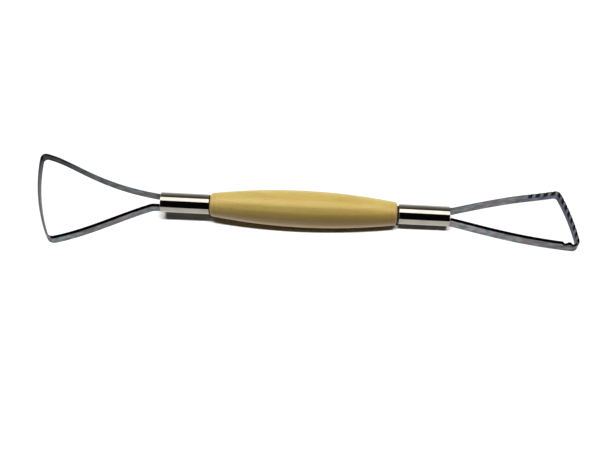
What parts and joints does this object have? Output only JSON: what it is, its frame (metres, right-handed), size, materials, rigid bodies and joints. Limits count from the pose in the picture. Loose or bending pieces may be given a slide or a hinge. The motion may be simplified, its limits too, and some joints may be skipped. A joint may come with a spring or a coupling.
{
  "type": "clay ribbon tool",
  "caption": "Double-ended clay sculpting tool: a turned wooden barrel handle with a ferrule at each end, one holding a wide plain ribbon loop and the other a narrow serrated one.",
  "frame": {"origin": "on the handle's axis, halfway between the tips of the two loops", "axes": "+X along the handle to the serrated loop, +Y across the loops, +Z towards the side where the ribbons are ground"},
  "size_m": [0.203, 0.0369, 0.0138],
  "materials": {
    "turned_wood": "clear satin lacquer",
    "ferrule_plating": "bright nickel plate",
    "cast_resin": "cast, glossy",
    "ribbon_steel": "ground spring steel"
  },
  "bodies": {
    "root": {"handle": "turned_wood", "plain_ferrule": "ferrule_plating", "plain_resin_plug": "cast_resin", "plain_ribbon": "ribbon_steel", "serrated_ferrule": "ferrule_plating", "serrated_resin_plug": "cast_resin", "serrated_ribbon": "ribbon_steel"}
  },
  "joints": []
}
